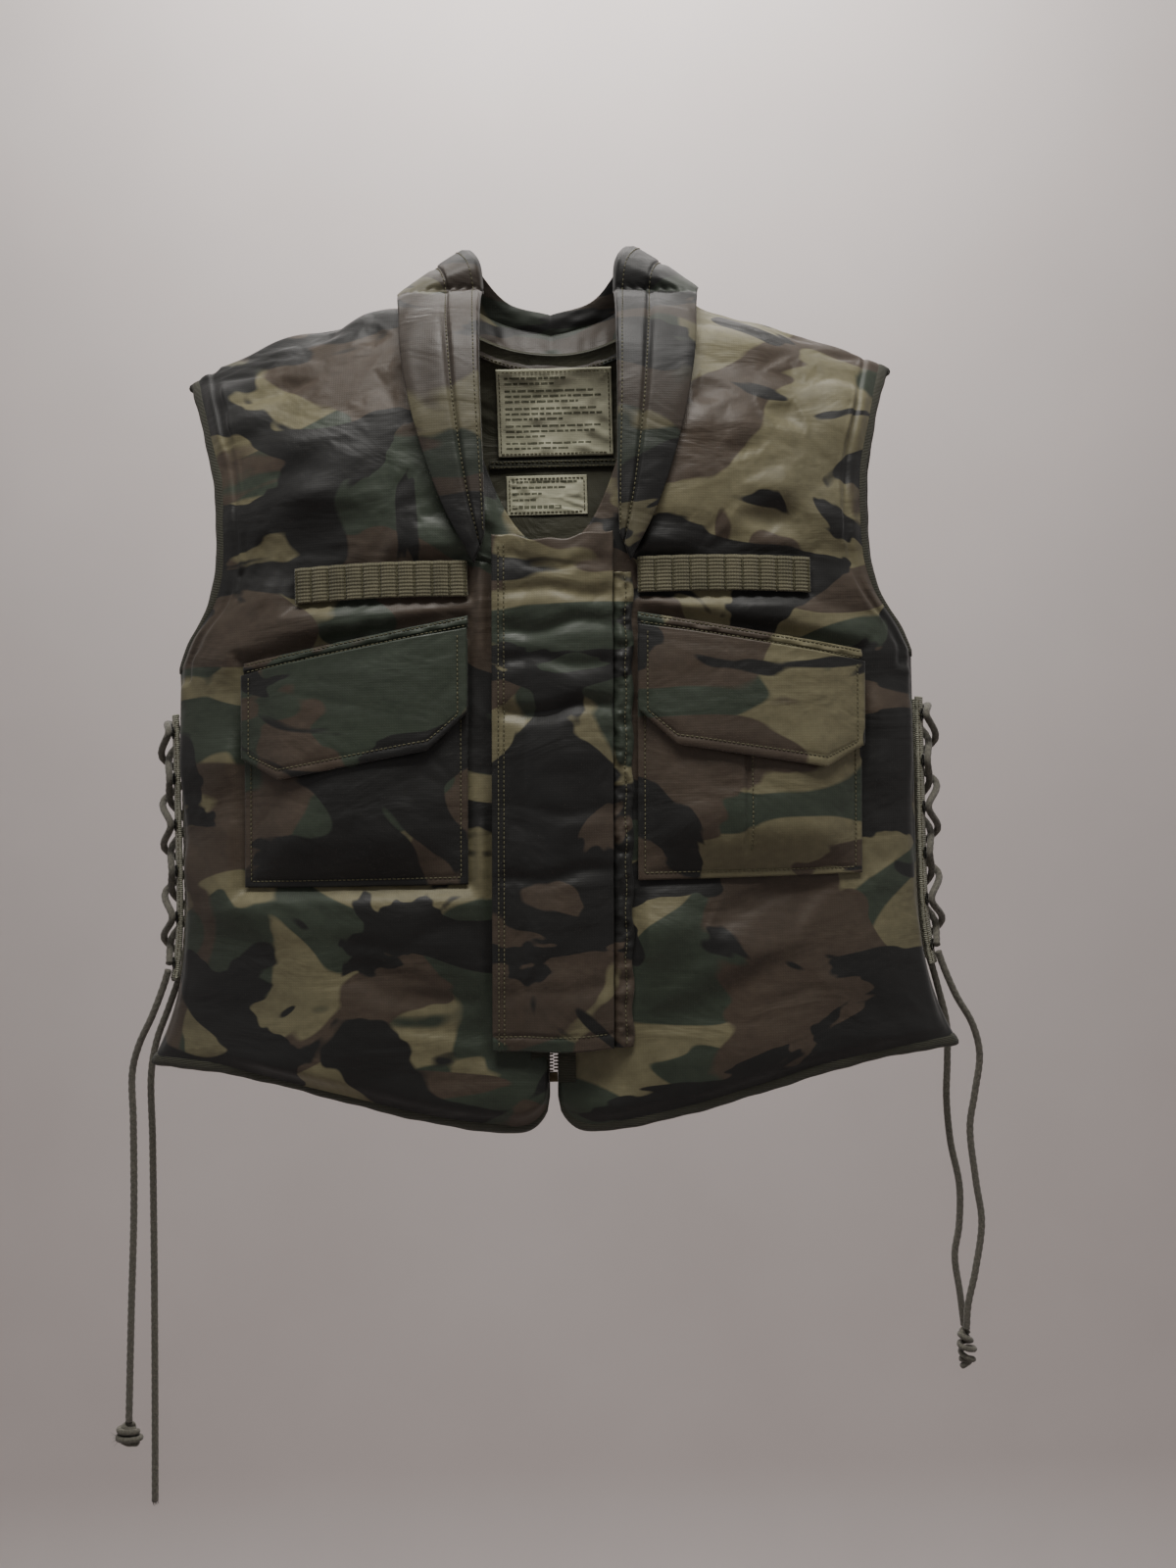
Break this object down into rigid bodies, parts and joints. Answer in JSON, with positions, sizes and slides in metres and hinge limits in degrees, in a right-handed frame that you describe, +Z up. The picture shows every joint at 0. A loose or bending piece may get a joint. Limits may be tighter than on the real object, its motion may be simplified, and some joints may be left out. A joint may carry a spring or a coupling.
{
  "type": "padded fragmentation vest",
  "caption": "Padded camouflage body armour vest with a zip front under a storm flap, thick shawl collar, flapped chest pockets, chest webbing and laced sides.",
  "frame": {"origin": "point between the shoulders, in the middle plane, where a coat hanger carries the vest", "axes": "+Z up from hem to collar, +X towards the wearer's left side, -Y is the way the wearer faces"},
  "size_m": [0.6914, 0.1647, 0.9922],
  "materials": {
    "camouflage_nylon": "woodland-pattern nylon plain weave with a slight sheen, creased and quilted over padding",
    "lining": "same nylon inside out of the light, softly creased",
    "ballistic_filler": "stacked aramid plies, matt",
    "binding_tape": "narrow woven olive tape",
    "webbing": "ribbed olive cotton webbing with vertical bar tacks",
    "lacing_tape": "pale worn olive tape with frayed ends",
    "lace_cord": "braided olive-grey cord",
    "label": "pale green printed label cloth, lines only",
    "zip_metal": "dull aged brass"
  },
  "bodies": {
    "root": {"right_front_cover": "camouflage_nylon", "right_front_filler": "ballistic_filler", "right_front_lining": "lining", "left_front_cover": "camouflage_nylon", "left_front_filler": "ballistic_filler", "left_front_lining": "lining", "back_cover": "camouflage_nylon", "back_filler": "ballistic_filler", "back_lining": "lining", "right_front_armhole_binding": "binding_tape", "right_back_armhole_binding": "binding_tape", "right_front_hem_binding": "binding_tape", "left_front_armhole_binding": "binding_tape", "left_back_armhole_binding": "binding_tape", "left_front_hem_binding": "binding_tape", "back_hem_binding": "binding_tape", "collar_outer_cover": "camouflage_nylon", "collar_filler": "ballistic_filler", "collar_inner_cover": "camouflage_nylon", "right_zip_tape": "binding_tape", "right_zip_chain": "zip_metal", "left_zip_tape": "binding_tape", "left_zip_chain": "zip_metal", "zip_bottom_box": "zip_metal", "flap_loop_tape": "binding_tape", "storm_flap_seam": "camouflage_nylon", "right_chest_webbing": "webbing", "right_pocket": "camouflage_nylon", "right_pocket_flap_band": "camouflage_nylon", "right_pocket_loop_tape": "binding_tape", "left_chest_webbing": "webbing", "left_pocket": "camouflage_nylon", "left_pocket_flap_band": "camouflage_nylon", "left_pocket_loop_tape": "binding_tape", "instruction_label": "label", "size_label": "label", "lining_seam_tape": "binding_tape", "right_front_lacing_strip": "lacing_tape", "right_back_lacing_strip": "lacing_tape", "right_side_lace": "lace_cord", "right_front_lace_end": "lace_cord", "right_back_lace_end": "lace_cord", "left_front_lacing_strip": "lacing_tape", "left_back_lacing_strip": "lacing_tape", "left_side_lace": "lace_cord", "left_front_lace_end": "lace_cord", "left_back_lace_end": "lace_cord", "right_lace_knot": "lace_cord", "left_lace_knot": "lace_cord"},
    "storm_flap": {"storm_flap": "camouflage_nylon", "flap_hook_tape": "binding_tape"},
    "right_pocket_flap": {"right_pocket_flap": "camouflage_nylon", "right_pocket_hook_tape": "binding_tape"},
    "left_pocket_flap": {"left_pocket_flap": "camouflage_nylon", "left_pocket_hook_tape": "binding_tape"},
    "zip_slider": {"zip_slider": "zip_metal"},
    "zip_pull_tab": {"zip_pull_tab": "zip_metal"}
  },
  "joints": [
    {"name": "storm_flap_hinge", "type": "hinge", "parent": "root", "child": "storm_flap", "pos_m": [0.04897, -0.08364, -0.377], "axis": [0.0219, 0, 0.9998], "range_deg": [0, 100]},
    {"name": "right_pocket_flap_hinge", "type": "hinge", "parent": "root", "child": "right_pocket_flap", "pos_m": [-0.15769, -0.08527, -0.27469], "axis": [-0.9785, 0.1225, -0.1662], "range_deg": [0, 120]},
    {"name": "left_pocket_flap_hinge", "type": "hinge", "parent": "root", "child": "left_pocket_flap", "pos_m": [0.17226, -0.08313, -0.2747], "axis": [-0.9751, -0.1467, 0.1665], "range_deg": [0, 120]},
    {"name": "zip_slide", "type": "slide", "parent": "root", "child": "zip_slider", "axis": [-0.0219, 0, -0.9998], "range_m": [0, 0.345]},
    {"name": "zip_pull_hinge", "type": "hinge", "parent": "zip_slider", "child": "zip_pull_tab", "pos_m": [0.00815, -0.0844, -0.2228], "axis": [-1, 0, 0], "range_deg": [0, 9]}
  ]
}
